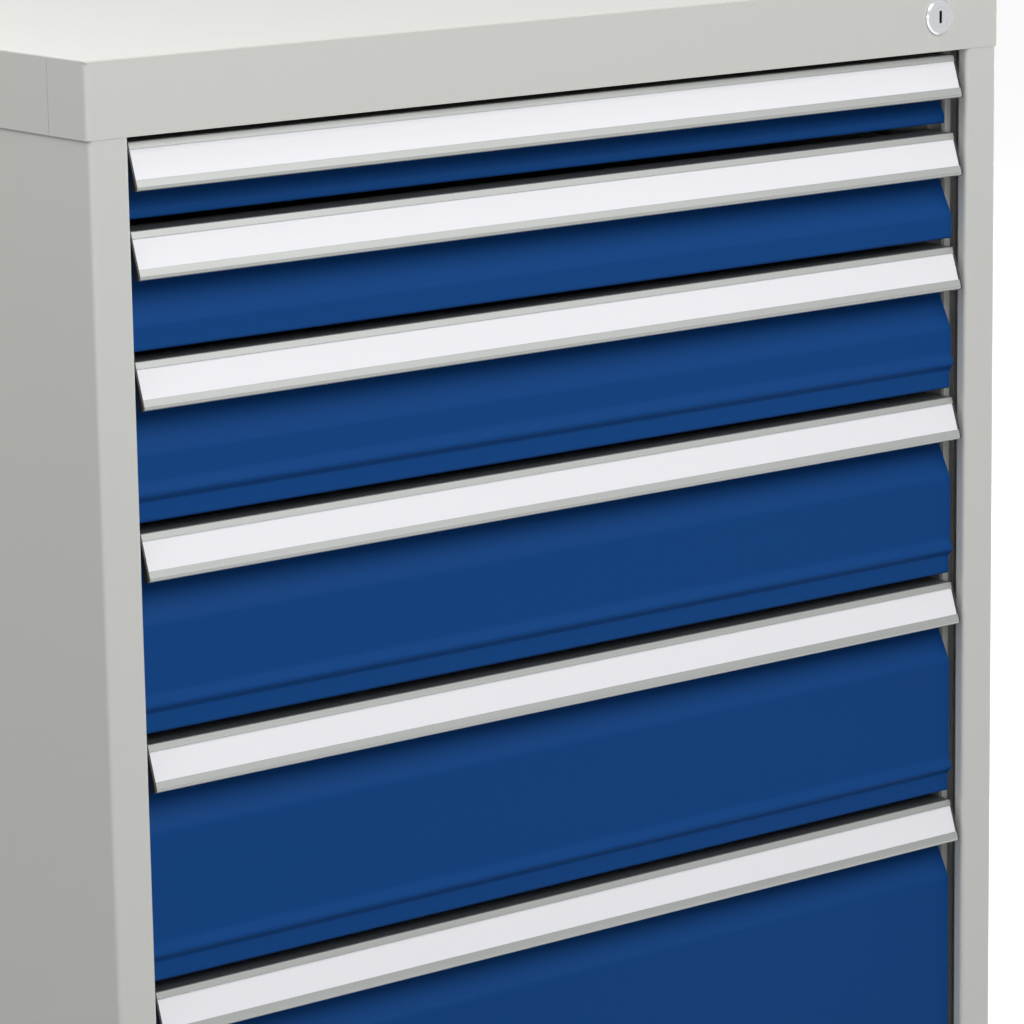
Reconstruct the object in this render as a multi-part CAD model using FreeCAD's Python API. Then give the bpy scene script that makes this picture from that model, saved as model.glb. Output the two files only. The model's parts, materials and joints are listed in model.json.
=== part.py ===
"""Six-drawer steel cabinet with profiled fronts, label handles and two-part roller runners.

Every solid is one physical piece, written to parts/NODE.step. Lengths are in millimetres.
While a piece is modelled, x runs across the cabinet from its middle plane, y runs back
from the front face of the posts and z runs up from the floor. export_all moves the whole
cabinet along y, so that the middle of its overall outline stands on the origin.
"""

import FreeCAD
import Part

import math
import os

Vector = FreeCAD.Vector

# --- overall sizes ---------------------------------------------------------------------
CASE_WIDTH = 702.0
CASE_DEPTH = 734.0
DRAWER_PITCHES = (51.0, 75.0, 100.0, 125.0, 150.0, 200.0)  # handle top to handle top, downwards
BASE_HEIGHT = 71.0
FASCIA_HEIGHT = 45.0

# --- sheet metal -----------------------------------------------------------------------
CASE_SHEET = 1.5
TRAY_SHEET = 1.2
BACK_SHEET = 1.0
OUTER_BEND = 3.0  # radius outside a case fold that shows
INNER_BEND = 0.8
SEAM_GAP = 0.3

# --- front posts, folded from the side panels ------------------------------------------
POST_WIDTH = 26.5
POST_DEPTH = 9.5
POST_LIP = 12.0  # folded back outwards, behind the post's face
REAR_FLANGE = 21.5
FLOOR_FLANGE = 26.0
ANCHOR_HOLE_RADIUS = 5.5
ANCHOR_HOLE_INSET = 17.0  # from the side panel's outer face
ANCHOR_HOLE_FROM_ENDS = 68.0

# --- cap and base ----------------------------------------------------------------------
CAP_OVERHANG = 1.5
FASCIA_RETURN = 39.0
FASCIA_PROUD = 0.3
FASCIA_LIP = 30.0  # underside, over the drawer opening
BASE_FLANGE = 40.0
BASE_REAR_INSET = 4.0
BACK_RIB_DEPTH = 4.0
BACK_RIB_HEIGHT = 60.0

# --- gaps round the drawers ------------------------------------------------------------
TOP_GAP = 4.0  # fascia to the first handle
FRONT_GAP = 5.2  # front to the handle below it
BOTTOM_GAP = 3.7  # lowest front to the base
END_GAP = 3.5  # front or handle to the post

# --- drawer fronts: setbacks from the post's face, heights from the handle's top --------
FRONT_SHEET = 1.5
FRONT_BEND = 2.0
SWEEP_BEND = 7.0
PAN_DEPTH = 34.0
RECESS_SETBACK = 23.0
BELLY_SETBACK = 10.4
BEAD_SETBACK = 7.6
SKIRT_SETBACK = 11.6
SWEEP_TOP = 30.0
SWEEP_FOOT = 54.5
SHORT_SKIRT = 5.0
BEAD_BEND = 3.0
BEAD_START = 24.0  # from the front's foot
BEAD_PEAK = 16.8
SKIRT_TOP = 12.3
PITCH_WITH_BEAD = 90.0

# --- handle extrusion ------------------------------------------------------------------
HANDLE_TOP_SETBACK = 8.4
HANDLE_FOOT_PROUD = 0.5
HANDLE_DROP = 26.8
HANDLE_PLATE = 3.0
HANDLE_FLANGE = 2.0
HANDLE_FLANGE_END = 30.0
HANDLE_LEG = 12.0
LEG_SHEET = 1.8
TOP_LIP = 4.2
FOOT_LIP = 6.2
LIP_SHEET = 0.5
POCKET_DEPTH = 1.4
POCKET_GROOVE = 1.0
FOOT_DEPTH = 4.6
FOOT_ROUND = 2.0
CAP_SHEET = 1.2
CAP_PIN_RADIUS = 1.2
CAP_PIN_LENGTH = 8.0
PIN_CLEARANCE = 0.05
LABEL_THICKNESS = 0.7
LABEL_CLEARANCE = 0.1

# --- drawer trays ----------------------------------------------------------------------
REAR_SPACE = 100.0
TRAY_TOP_GAP = 6.0
TRAY_FLOOR_GAP = 6.0
TRAY_HEM = 6.0

# --- roller runners --------------------------------------------------------------------
UPRIGHT_DEPTH = 17.0
UPRIGHT_WIDTH = 36.0
UPRIGHT_FOOT = 9.0
UPRIGHT_FROM_FRONT = 46.0
UPRIGHT_FROM_BACK = 60.0
SLOT_PITCH = 25.0
SLOT_WIDTH = 4.0
SLOT_HEIGHT = 13.0
SLOT_WEB = 4.0  # least metal between two slots
HOOK_WIDTH = 3.0
HOOK_HEIGHT = 10.0
HOOK_REACH = 4.0
RAIL_SHEET = 1.5
RAIL_HEIGHT = 34.0
RAIL_DEPTH = 13.5
RAIL_FROM_FRONT = 37.5
RAIL_FROM_BACK = 38.0
RAIL_ABOVE_SLOT = 24.0  # rail's middle above the drawer's slot floor
CARRIAGE_SHEET = 2.5
CARRIAGE_HEIGHT = 26.0
CARRIAGE_START = 39.0
CARRIAGE_PAST_TRAY = 25.0  # rear end, behind the tray's
CARRIAGE_GAP = 1.0
ROLLER_CLEARANCE = 0.3
ROLLER_END_GAP = 0.6
ROLLER_WIDTH = 9.5
AXLE_RADIUS = 4.0
AXLE_CLEARANCE = 0.05
AXLE_END = 17.0  # outermost axles to the bar's ends
STOP_REACH = 9.0  # of the tongue that stops the rollers, from the rail's outer face
STOP_HEIGHT = 18.0
STOP_MARGIN = 1.0
TRAY_KEPT = 10.0  # of the tray's length, inside the case when the drawer is fully out

# --- lock ------------------------------------------------------------------------------
LOCK_FROM_SIDE = 52.5
LOCK_RADIUS = 9.0
LOCK_BEZEL_RADIUS = 11.5
LOCK_BEZEL = 2.0
LOCK_LENGTH = 14.0
PLUG_RADIUS = 6.5
PLUG_TAIL = 2.0
PLUG_CLEARANCE = 0.05
KEYWAY_WIDTH = 2.2
KEYWAY_HEIGHT = 8.0
KEYWAY_DEPTH = 10.0
CAM_SHEET = 3.0
CAM_ARM = 9.0
CAM_WIDTH = 8.0
CAM_PIN_RADIUS = 2.0
CAM_PIN_LENGTH = 7.0
LOCK_TURN = 90.0
BAR_SHEET = 3.0
BAR_WIDTH = 5.0
BAR_FROM_OPENING = 0.3
BAR_FRONT = 21.0
BAR_TAIL = 16.0  # below the base's top
BAR_GUIDE_CLEARANCE = 0.3
PIN_SLOT_CLEARANCE = 0.5
BAR_HEAD_HEIGHT = 14.0
BAR_FINGER_REACH = 2.3
BAR_FINGER_HEIGHT = 8.0

# --- rivets ----------------------------------------------------------------------------
RIVET_RADIUS = 2.4
RIVET_HEAD_RADIUS = 4.75
RIVET_HEAD = 1.2
RIVETS_PER_SIDE = 4

# --- places worked out from the sizes above --------------------------------------------
HALF_WIDTH = CASE_WIDTH / 2
INSIDE_HALF = HALF_WIDTH - CASE_SHEET
OPENING_HALF = HALF_WIDTH - POST_WIDTH
FRONT_HALF = OPENING_HALF - END_GAP
CAP_HALF = HALF_WIDTH + CAP_OVERHANG

LOWEST_SLOT = BASE_HEIGHT + BOTTOM_GAP - FRONT_GAP
FIRST_HANDLE_TOP = LOWEST_SLOT + sum(DRAWER_PITCHES)
OPENING_TOP = FIRST_HANDLE_TOP + TOP_GAP
CASE_HEIGHT = OPENING_TOP + FASCIA_HEIGHT

UPRIGHT_FACE = INSIDE_HALF - UPRIGHT_DEPTH
CASE_RAIL_TIP = UPRIGHT_FACE - RAIL_DEPTH
CARRIAGE_OUTER = CASE_RAIL_TIP - CARRIAGE_GAP
CARRIAGE_INNER = CARRIAGE_OUTER - CARRIAGE_SHEET
DRAWER_RAIL_TIP = CARRIAGE_INNER - CARRIAGE_GAP
TRAY_HALF = DRAWER_RAIL_TIP - RAIL_DEPTH
TRAY_END = CASE_DEPTH - REAR_SPACE
ROLLER_RADIUS = RAIL_HEIGHT / 2 - RAIL_SHEET - ROLLER_CLEARANCE
CARRIAGE_END = TRAY_END + CARRIAGE_PAST_TRAY
TRAVEL = TRAY_END - PAN_DEPTH - TRAY_KEPT
FROM_STOP = RAIL_SHEET + STOP_MARGIN + ROLLER_RADIUS  # rail's end to a roller that has run up to it
INNER_ROLLERS = (CARRIAGE_START + AXLE_END, TRAY_END - FROM_STOP - TRAVEL / 2)
OUTER_ROLLERS = (RAIL_FROM_FRONT + FROM_STOP + TRAVEL / 2, CARRIAGE_END - AXLE_END)

LOCK_X = HALF_WIDTH - LOCK_FROM_SIDE
LOCK_Z = OPENING_TOP + FASCIA_HEIGHT / 2
LOCK_RISE = 2 * CAM_ARM * math.sin(math.radians(LOCK_TURN / 2))
BAR_LEFT = OPENING_HALF + BAR_FROM_OPENING
BAR_RIGHT = BAR_LEFT + BAR_WIDTH
BAR_BACK = BAR_FRONT + BAR_SHEET


def plan(u, v):
    """Lays a section flat: u is x and v is y."""
    return Vector(u, v, 0)


def side_on(u, v):
    """Stands a section across the cabinet's middle plane: u is y and v is z."""
    return Vector(0, u, v)


def front_on(u, v):
    """Stands a section in the plane of the front: u is x and v is z."""
    return Vector(u, 0, v)


def box(x0, x1, y0, y1, z0, z1):
    """A block between two corners."""
    return Part.makeBox(x1 - x0, y1 - y0, z1 - z0, Vector(x0, y0, z0))


def rod(radius, start, end):
    """A round bar between two points."""
    start, end = Vector(*start), Vector(*end)
    return Part.makeCylinder(radius, (end - start).Length, start, end - start)


def one_solid(shape):
    """The single clean solid that a chain of fuses and cuts leaves."""
    clean = shape.removeSplitter()
    if len(clean.Solids) != 1:
        raise ValueError(f"a piece came out as {len(clean.Solids)} solids")
    return clean.Solids[0]


def mirrored(solid):
    """The same piece on the other side of the cabinet's middle plane."""
    return solid.mirror(Vector(0, 0, 0), Vector(1, 0, 0)).Solids[0]


def raised(solid, height):
    """A copy of a solid, moved up."""
    copy = solid.copy()
    copy.translate(Vector(0, 0, height))
    return copy


def arc_at(before, point, after, radius):
    """Start, middle and end of the arc that rounds the corner at point, and its centre."""
    into = (point - before).normalize()
    out = (after - point).normalize()
    tangent = radius * math.tan(into.getAngle(out) / 2)
    start, end = point - into * tangent, point + out * tangent
    bisector = (out - into).normalize()
    centre = point + bisector * math.hypot(radius, tangent)
    return start, centre + (point - centre).normalize() * radius, end, centre


def face_of(runs, place):
    """A face from runs of 2-D points: a run of one is a corner, and a run of three an arc."""
    edges = []
    for run, following in zip(runs, runs[1:] + runs[:1]):
        if len(run) == 3:
            edges.append(Part.Arc(*[place(p.x, p.y) for p in run]).toShape())
        start, end = run[-1], following[0]
        if (end - start).Length > 1e-6:
            edges.append(Part.makeLine(place(start.x, start.y), place(end.x, end.y)))
    return Part.Face(Part.Wire(edges))


def rounded_face(points, radii, place):
    """A polygon's face, with each corner rounded to its radius, or left sharp where that is 0."""
    points = [Vector(u, v, 0) for u, v in points]
    runs = []
    for i, (point, radius) in enumerate(zip(points, radii)):
        if radius:
            runs.append(list(arc_at(points[i - 1], point, points[(i + 1) % len(points)], radius)[:3]))
        else:
            runs.append([point])
    return face_of(runs, place)


def sheet_face(points, sheet, radii, place):
    """The section of a sheet folded along points, one face of which runs through them.

    A positive sheet thickness lies to the left of the path and a negative one to its right.
    radii holds one radius for each fold, on the side of the path itself.
    """
    points = [Vector(u, v, 0) for u, v in points]
    near, far = [], []
    for i, point in enumerate(points):
        ahead = points[min(i + 1, len(points) - 1)] - points[min(i, len(points) - 2)]
        across = Vector(-ahead.y, ahead.x, 0).normalize() * sheet
        if i in (0, len(points) - 1):
            near.append([point])
            far.append([point + across])
            continue
        start, middle, end, centre = arc_at(points[i - 1], point, points[i + 1], radii[i - 1])
        sideways = Vector(points[i - 1].y - point.y, point.x - points[i - 1].x, 0)
        inwards = (centre - start).dot(sideways) * sheet > 0
        change = -abs(sheet) if inwards else abs(sheet)
        scale = (radii[i - 1] + change) / radii[i - 1]
        near.append([start, middle, end])
        far.append([centre + (p - centre) * scale for p in (start, middle, end)])
    return face_of(near + [run[::-1] for run in far[::-1]], place)


def across_cabinet(face, half_width):
    """Extrudes a side-on section to both sides of the middle plane."""
    face.translate(Vector(-half_width, 0, 0))
    return face.extrude(Vector(2 * half_width, 0, 0))


# --- case ------------------------------------------------------------------------------
def rivet_heights():
    """Heights of the rivets up a rear flange."""
    low, high = BASE_HEIGHT + BACK_RIB_HEIGHT, OPENING_TOP - BACK_RIB_HEIGHT
    return [low + (high - low) * i / (RIVETS_PER_SIDE - 1) for i in range(RIVETS_PER_SIDE)]


def rivet_x():
    """Distance of the rivets from the middle plane."""
    return HALF_WIDTH - REAR_FLANGE / 2


def side_panel():
    """Right side panel: one sheet whose front edge is folded into the post."""
    path = [
        (HALF_WIDTH - REAR_FLANGE, CASE_DEPTH),
        (HALF_WIDTH, CASE_DEPTH),
        (HALF_WIDTH, 0),
        (OPENING_HALF, 0),
        (OPENING_HALF, POST_DEPTH),
        (OPENING_HALF + POST_LIP, POST_DEPTH),
    ]
    radii = [OUTER_BEND, OUTER_BEND, OUTER_BEND, INNER_BEND + CASE_SHEET]
    panel = sheet_face(path, -CASE_SHEET, radii, plan).extrude(Vector(0, 0, CASE_HEIGHT - CASE_SHEET))
    above_post = box(0, HALF_WIDTH + 1, -1, FASCIA_RETURN + SEAM_GAP, OPENING_TOP, CASE_HEIGHT)
    flange_inner = INSIDE_HALF - FLOOR_FLANGE
    flange_end = CASE_DEPTH - 2 * BASE_REAR_INSET
    flange = box(flange_inner, INSIDE_HALF, POST_DEPTH + SEAM_GAP, flange_end, 0, CASE_SHEET)
    panel = panel.cut(above_post).fuse(flange)
    for y in (ANCHOR_HOLE_FROM_ENDS, CASE_DEPTH - ANCHOR_HOLE_FROM_ENDS):
        x = HALF_WIDTH - ANCHOR_HOLE_INSET
        panel = panel.cut(rod(ANCHOR_HOLE_RADIUS, (x, y, -1), (x, y, CASE_SHEET + 1)))
    hole = RIVET_RADIUS + PIN_CLEARANCE
    x = rivet_x()
    for z in rivet_heights():
        panel = panel.cut(rod(hole, (x, CASE_DEPTH - CASE_SHEET - 1, z), (x, CASE_DEPTH + 1, z)))
    return one_solid(panel)


def back_panel():
    """Back sheet behind the rear flanges' inner faces, stiffened by pressed ribs."""
    outside = CASE_DEPTH - CASE_SHEET
    low, high = BASE_HEIGHT, CASE_HEIGHT - CASE_SHEET - SEAM_GAP
    path = [(outside, low)]
    spacing = (high - low) / 4
    for i in (1, 2, 3):
        middle = low + spacing * i
        half = BACK_RIB_HEIGHT / 2
        path += [
            (outside, middle - half),
            (outside - BACK_RIB_DEPTH, middle - half + BACK_RIB_DEPTH),
            (outside - BACK_RIB_DEPTH, middle + half - BACK_RIB_DEPTH),
            (outside, middle + half),
        ]
    path.append((outside, high))
    bend = BACK_SHEET + INNER_BEND
    ribbed = sheet_face(path, BACK_SHEET, [bend] * (len(path) - 2), side_on)
    panel = across_cabinet(ribbed, HALF_WIDTH - REAR_FLANGE - SEAM_GAP)
    hole = RIVET_RADIUS + PIN_CLEARANCE
    near, far = HALF_WIDTH - REAR_FLANGE - SEAM_GAP, HALF_WIDTH - OUTER_BEND - SEAM_GAP
    for sign in (-1, 1):
        margin = sorted((sign * near, sign * far))
        panel = panel.fuse(box(*margin, outside - BACK_SHEET, outside, low, high))
        for z in rivet_heights():
            x = sign * rivet_x()
            panel = panel.cut(rod(hole, (x, outside - BACK_SHEET - 1, z), (x, outside + 1, z)))
    return one_solid(panel)


def base_pan():
    """Floor of the case, folded down at the front as the bottom rail and again at the rear."""
    rear = CASE_DEPTH - BASE_REAR_INSET
    path = [(BASE_FLANGE, 0), (0, 0), (0, BASE_HEIGHT), (rear, BASE_HEIGHT), (rear, CASE_SHEET + SEAM_GAP)]
    section = sheet_face(path, -CASE_SHEET, [OUTER_BEND] * 3, side_on)
    pan = across_cabinet(section, INSIDE_HALF - SEAM_GAP)
    reach = CASE_WIDTH
    for sign in (-1, 1):
        beside_post = sorted((sign * (OPENING_HALF - SEAM_GAP), sign * reach))
        beside_flange = sorted((sign * (INSIDE_HALF - FLOOR_FLANGE - SEAM_GAP), sign * reach))
        pan = pan.cut(box(*beside_post, -1, POST_DEPTH + SEAM_GAP, -1, BASE_HEIGHT + 1))
        pan = pan.cut(box(*beside_flange, -1, BASE_FLANGE + 1, -1, CASE_SHEET + SEAM_GAP))
    return one_solid(pan.cut(bar_guide(BASE_HEIGHT - CASE_SHEET)))


def bar_guide(under):
    """Cutter for the slot in which the locking bar slides through a sheet."""
    gap = BAR_GUIDE_CLEARANCE
    top = under + CASE_SHEET
    return box(BAR_LEFT - gap, BAR_RIGHT + gap, BAR_FRONT - gap, BAR_BACK + gap, under - 1, top + 1)


def top_fascia():
    """Front beam over the drawers: its ends wrap the corners, and the lock passes through it."""
    top = CASE_HEIGHT - CASE_SHEET
    outline = [
        (-CAP_HALF, FASCIA_RETURN),
        (-CAP_HALF, -FASCIA_PROUD),
        (CAP_HALF, -FASCIA_PROUD),
        (CAP_HALF, FASCIA_RETURN),
    ]
    inner = [
        (-CAP_HALF + CASE_SHEET, FASCIA_RETURN + 1),
        (-CAP_HALF + CASE_SHEET, CASE_SHEET - FASCIA_PROUD),
        (CAP_HALF - CASE_SHEET, CASE_SHEET - FASCIA_PROUD),
        (CAP_HALF - CASE_SHEET, FASCIA_RETURN + 1),
    ]
    bends = [0, OUTER_BEND, OUTER_BEND, 0]
    inner_bends = [0, OUTER_BEND - CASE_SHEET, OUTER_BEND - CASE_SHEET, 0]
    shell = rounded_face(outline, bends, plan).extrude(Vector(0, 0, top - OPENING_TOP))
    hollow_height = top - OPENING_TOP - 2 * CASE_SHEET
    hollow = rounded_face(inner, inner_bends, plan).extrude(Vector(0, 0, hollow_height))
    beam = raised(shell, OPENING_TOP).cut(raised(hollow, OPENING_TOP + CASE_SHEET))
    half = INSIDE_HALF - SEAM_GAP
    lip_top = OPENING_TOP + CASE_SHEET
    behind_lip = box(-half, half, FASCIA_LIP, FASCIA_RETURN + 1, OPENING_TOP - 1, lip_top + 1)
    before, behind = (LOCK_X, -CASE_SHEET - 1, LOCK_Z), (LOCK_X, CASE_SHEET + 1, LOCK_Z)
    lock_hole = rod(LOCK_RADIUS + PIN_CLEARANCE, before, behind)
    return one_solid(beam.cut([behind_lip, lock_hole, bar_guide(OPENING_TOP)]))


def top_cover():
    """Top sheet with flanges that lap the outside of the side panels and the back."""
    under = CASE_HEIGHT - CASE_SHEET
    seam = FASCIA_RETURN + SEAM_GAP
    rear = CASE_DEPTH + CAP_OVERHANG
    top = box(-CAP_HALF, CAP_HALF, -FASCIA_PROUD, rear, under, CASE_HEIGHT)
    skirt = box(-CAP_HALF, CAP_HALF, seam, rear, OPENING_TOP, under)
    inside = box(-HALF_WIDTH, HALF_WIDTH, seam - 1, CASE_DEPTH, OPENING_TOP - 1, under)
    cover = one_solid(top.fuse(skirt.cut(inside)))
    edge_round = CASE_SHEET * 0.8
    shown = [e for e in cover.Edges if e.BoundBox.ZMin > CASE_HEIGHT - 0.01]
    return one_solid(cover.makeFillet(edge_round, shown))


def runner_uprights():
    """Four slotted hat sections, welded inside the side panels, that carry the case rails."""
    half = UPRIGHT_WIDTH / 2
    low = BASE_HEIGHT + SEAM_GAP
    uprights = []
    for y in upright_places():
        inside_face = UPRIGHT_FACE + CASE_SHEET
        path = [
            (INSIDE_HALF, y - half - UPRIGHT_FOOT),
            (INSIDE_HALF, y - half),
            (inside_face, y - half),
            (inside_face, y + half),
            (INSIDE_HALF, y + half),
            (INSIDE_HALF, y + half + UPRIGHT_FOOT),
        ]
        outer = INNER_BEND + CASE_SHEET
        section = sheet_face(path, CASE_SHEET, (outer, INNER_BEND, INNER_BEND, outer), plan)
        section.translate(Vector(0, 0, low))
        upright = section.extrude(Vector(0, 0, OPENING_TOP - low))
        across, along, up = CASE_SHEET + 2, SLOT_WIDTH / 2, SLOT_HEIGHT / 2
        slots = [
            box(UPRIGHT_FACE - 1, UPRIGHT_FACE + across, y - along, y + along, z - up, z + up)
            for z in slot_heights()
        ]
        upright = one_solid(upright.cut(Part.makeCompound(slots)))
        uprights += [upright, mirrored(upright)]
    return uprights


def slot_heights():
    """Middles of an upright's slots: two behind each case rail, and the grid carried on up to the next."""
    rails = sorted(rail_height(handle_top, pitch) for handle_top, pitch in drawer_slots())
    ceiling = OPENING_TOP + SLOT_PITCH / 2
    heights = []
    for rail, rail_above in zip(rails, rails[1:] + [ceiling]):
        z = rail - SLOT_PITCH / 2
        while z <= rail_above - SLOT_PITCH / 2 - SLOT_HEIGHT - SLOT_WEB:
            heights.append(z)
            z += SLOT_PITCH
    return heights


def upright_places():
    """Middles of the front and rear uprights, back from the posts' face."""
    half = UPRIGHT_WIDTH / 2
    return (UPRIGHT_FROM_FRONT + half, CASE_DEPTH - UPRIGHT_FROM_BACK - half)


def stop_tongue(root, tip, near, far):
    """Tongue bent in across the end of a rail, which stops the rollers that run in it."""
    return box(*sorted((root, tip)), near, far, -STOP_HEIGHT / 2, STOP_HEIGHT / 2)


def case_rails():
    """A channel rail on each side for each drawer: hooks behind it, a stop at its front end."""
    half = RAIL_HEIGHT / 2
    bend = INNER_BEND + RAIL_SHEET
    path = [(CASE_RAIL_TIP, half), (UPRIGHT_FACE, half), (UPRIGHT_FACE, -half), (CASE_RAIL_TIP, -half)]
    section = sheet_face(path, -RAIL_SHEET, [bend, bend], front_on)
    section.translate(Vector(0, RAIL_FROM_FRONT, 0))
    rail = section.extrude(Vector(0, CASE_DEPTH - RAIL_FROM_BACK - RAIL_FROM_FRONT, 0))
    for y in upright_places():
        for z in (-SLOT_PITCH / 2, SLOT_PITCH / 2):
            hook = box(
                UPRIGHT_FACE - RAIL_SHEET / 2,
                UPRIGHT_FACE + HOOK_REACH,
                y - HOOK_WIDTH / 2,
                y + HOOK_WIDTH / 2,
                z - HOOK_HEIGHT / 2,
                z + HOOK_HEIGHT / 2,
            )
            rail = rail.fuse(hook)
    root, tip = UPRIGHT_FACE - RAIL_SHEET / 2, UPRIGHT_FACE - STOP_REACH
    stop = stop_tongue(root, tip, RAIL_FROM_FRONT, RAIL_FROM_FRONT + RAIL_SHEET)
    rail = one_solid(rail.fuse(stop))
    pairs = []
    for handle_top, pitch in drawer_slots():
        placed = raised(rail, rail_height(handle_top, pitch))
        pairs += [placed, mirrored(placed)]
    return pairs


def rivets():
    """Blind rivets that hold the back panel to the rear flanges."""
    inside = CASE_DEPTH - CASE_SHEET - BACK_SHEET
    solids = []
    for sign in (-1, 1):
        for z in rivet_heights():
            x = sign * rivet_x()
            shank = rod(RIVET_RADIUS, (x, inside, z), (x, CASE_DEPTH, z))
            head = rod(RIVET_HEAD_RADIUS, (x, CASE_DEPTH, z), (x, CASE_DEPTH + RIVET_HEAD, z))
            solids.append(one_solid(shank.fuse(head)))
    return solids


# --- lock ------------------------------------------------------------------------------
def lock_housing():
    """Bezel and sleeve of the cylinder lock, fixed in the fascia."""
    face = -FASCIA_PROUD
    bezel = rod(LOCK_BEZEL_RADIUS, (LOCK_X, face - LOCK_BEZEL, LOCK_Z), (LOCK_X, face, LOCK_Z))
    rim = [e for e in bezel.Edges if e.BoundBox.YMax < face - LOCK_BEZEL / 2]
    bezel = bezel.makeChamfer(LOCK_BEZEL / 2, rim)
    sleeve = rod(LOCK_RADIUS, (LOCK_X, face, LOCK_Z), (LOCK_X, LOCK_LENGTH, LOCK_Z))
    before, behind = (LOCK_X, face - LOCK_BEZEL - 1, LOCK_Z), (LOCK_X, LOCK_LENGTH + 1, LOCK_Z)
    bore = rod(PLUG_RADIUS + PLUG_CLEARANCE, before, behind)
    return one_solid(bezel.fuse(sleeve).cut(bore))


def lock_plug():
    """Turning plug with its keyway and, behind it, the cam whose pin lifts the locking bar."""
    face = -FASCIA_PROUD - LOCK_BEZEL
    tail = LOCK_LENGTH + PLUG_TAIL
    plug = rod(PLUG_RADIUS, (LOCK_X, face, LOCK_Z), (LOCK_X, tail, LOCK_Z))
    half_width, half_height = KEYWAY_WIDTH / 2, KEYWAY_HEIGHT / 2
    keyway = box(
        LOCK_X - half_width,
        LOCK_X + half_width,
        face - 1,
        face + KEYWAY_DEPTH,
        LOCK_Z - half_height,
        LOCK_Z + half_height,
    )
    half = CAM_WIDTH / 2
    arm = rounded_face(
        [(-half, -half), (CAM_ARM + half, -half), (CAM_ARM + half, half), (-half, half)],
        [half * 0.9] * 4,
        front_on,
    ).extrude(Vector(0, CAM_SHEET, 0))
    pin = rod(CAM_PIN_RADIUS, (CAM_ARM, 0, 0), (CAM_ARM, CAM_SHEET + CAM_PIN_LENGTH, 0))
    cam = arm.fuse(pin)
    cam.rotate(Vector(0, 0, 0), Vector(0, 1, 0), LOCK_TURN / 2)
    cam.translate(Vector(LOCK_X, tail, LOCK_Z))
    return one_solid(plug.cut(keyway).fuse(cam))


def lock_bar():
    """Flat bar behind the right post: a slotted head for the cam's pin, a finger for each drawer."""
    pin_rest_z = LOCK_Z - LOCK_RISE / 2
    half_slot = CAM_PIN_RADIUS + PIN_SLOT_CLEARANCE
    slot_left = LOCK_X + CAM_ARM * math.cos(math.radians(LOCK_TURN / 2)) - half_slot
    slot_right = LOCK_X + CAM_ARM + half_slot
    margin = (BAR_HEAD_HEIGHT - 2 * half_slot) / 2
    half_head = BAR_HEAD_HEIGHT / 2
    bar = box(BAR_LEFT, BAR_RIGHT, BAR_FRONT, BAR_BACK, BASE_HEIGHT - BAR_TAIL, pin_rest_z + half_head)
    low, high = pin_rest_z - half_head, pin_rest_z + half_head
    head = box(slot_left - margin, BAR_RIGHT, BAR_FRONT, BAR_BACK, low, high)
    low, high = pin_rest_z - half_slot, pin_rest_z + half_slot
    slot = box(slot_left, slot_right, BAR_FRONT - 1, BAR_BACK + 1, low, high)
    bar = bar.fuse(head)
    tip = BAR_LEFT - BAR_FINGER_REACH
    for handle_top, pitch in drawer_slots():
        z = rail_height(handle_top, pitch)
        bar = bar.fuse(box(tip, BAR_LEFT, BAR_FRONT, BAR_BACK, z, z + BAR_FINGER_HEIGHT))
    return one_solid(bar.cut(slot))


# --- drawers ---------------------------------------------------------------------------
def drawer_slots():
    """The height of each drawer's handle top, with its pitch, from the top down."""
    height = FIRST_HANDLE_TOP
    slots = []
    for pitch in DRAWER_PITCHES:
        slots.append((height, pitch))
        height -= pitch
    return slots


def rail_height(handle_top, pitch):
    """Height of the middle of a drawer's rails."""
    return handle_top - pitch + RAIL_ABOVE_SLOT


def front_path(pitch):
    """Outer face of a drawer front, from its top flange round to its bottom flange, with its bends."""
    foot = FRONT_GAP - pitch
    top = -HANDLE_FLANGE
    path = [(PAN_DEPTH, top), (RECESS_SETBACK, top)]
    bends = [FRONT_BEND]
    lean = (RECESS_SETBACK - BELLY_SETBACK) / (SWEEP_FOOT - SWEEP_TOP)
    path.append((RECESS_SETBACK, -SWEEP_TOP))
    bends.append(SWEEP_BEND)
    if -foot < SWEEP_FOOT:
        setback = RECESS_SETBACK - lean * (-foot - SHORT_SKIRT - SWEEP_TOP)
        path += [(setback, foot + SHORT_SKIRT), (setback, foot)]
        bends += [SWEEP_BEND, FRONT_BEND]
    elif pitch < PITCH_WITH_BEAD:
        path += [(BELLY_SETBACK, -SWEEP_FOOT), (BELLY_SETBACK, foot)]
        bends += [SWEEP_BEND, FRONT_BEND]
    else:
        path += [(BELLY_SETBACK, -SWEEP_FOOT), (BELLY_SETBACK, foot + BEAD_START)]
        path += [(BEAD_SETBACK, foot + BEAD_PEAK), (SKIRT_SETBACK, foot + SKIRT_TOP), (SKIRT_SETBACK, foot)]
        bends += [SWEEP_BEND, SWEEP_BEND, BEAD_BEND, FRONT_BEND, FRONT_BEND]
    path.append((PAN_DEPTH, foot))
    return path, bends


def drawer_front(pitch):
    """Profiled front pan: a swept finger recess, a belly, a pressed bead and a skirt."""
    path, bends = front_path(pitch)
    skin = across_cabinet(sheet_face(path, FRONT_SHEET, bends, side_on), FRONT_HALF)
    end = rounded_face(path, [0] + bends + [0], side_on)
    right = end.extrude(Vector(FRONT_SHEET, 0, 0))
    right.translate(Vector(FRONT_HALF - FRONT_SHEET, 0, 0))
    left = mirrored(right)
    return one_solid(skin.fuse(right).fuse(left))


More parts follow.
